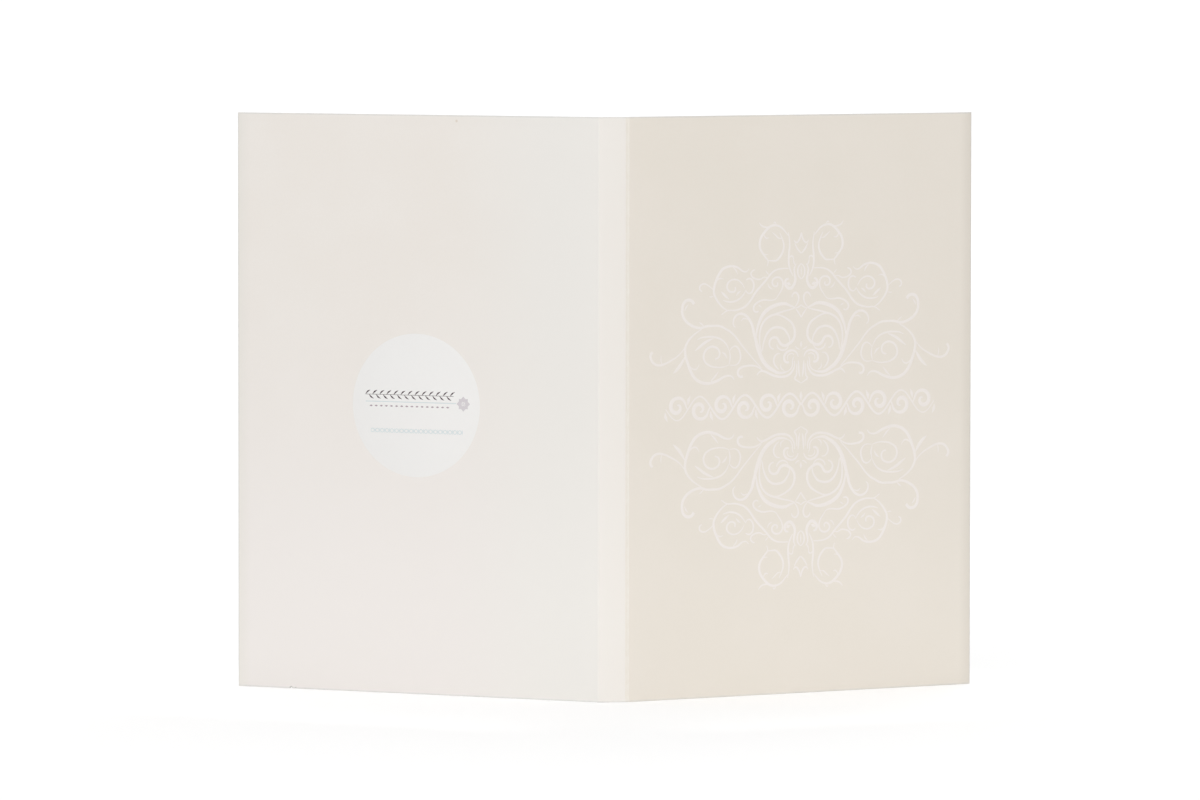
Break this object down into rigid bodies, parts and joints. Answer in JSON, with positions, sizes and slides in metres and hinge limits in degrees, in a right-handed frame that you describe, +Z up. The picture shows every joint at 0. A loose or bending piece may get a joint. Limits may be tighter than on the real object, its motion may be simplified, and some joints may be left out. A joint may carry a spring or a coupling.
{
  "type": "greeting card",
  "caption": "Folded greeting card with a narrow flat spine, standing open on its bottom edge with its outside facing forward.",
  "frame": {"origin": "on the table, under the middle of the card's bounding box", "axes": "+Z up along the fold lines, +X from the back cover to the front cover, +Y away from the spine into the opening between the covers"},
  "size_m": [0.2682, 0.0792, 0.21],
  "materials": {
    "cover_board": "smooth uncoated board",
    "white_ink": "matt white print",
    "dark_ink": "matt dark print",
    "teal_ink": "matt teal print"
  },
  "bodies": {
    "root": {"card": "cover_board"}
  },
  "joints": []
}
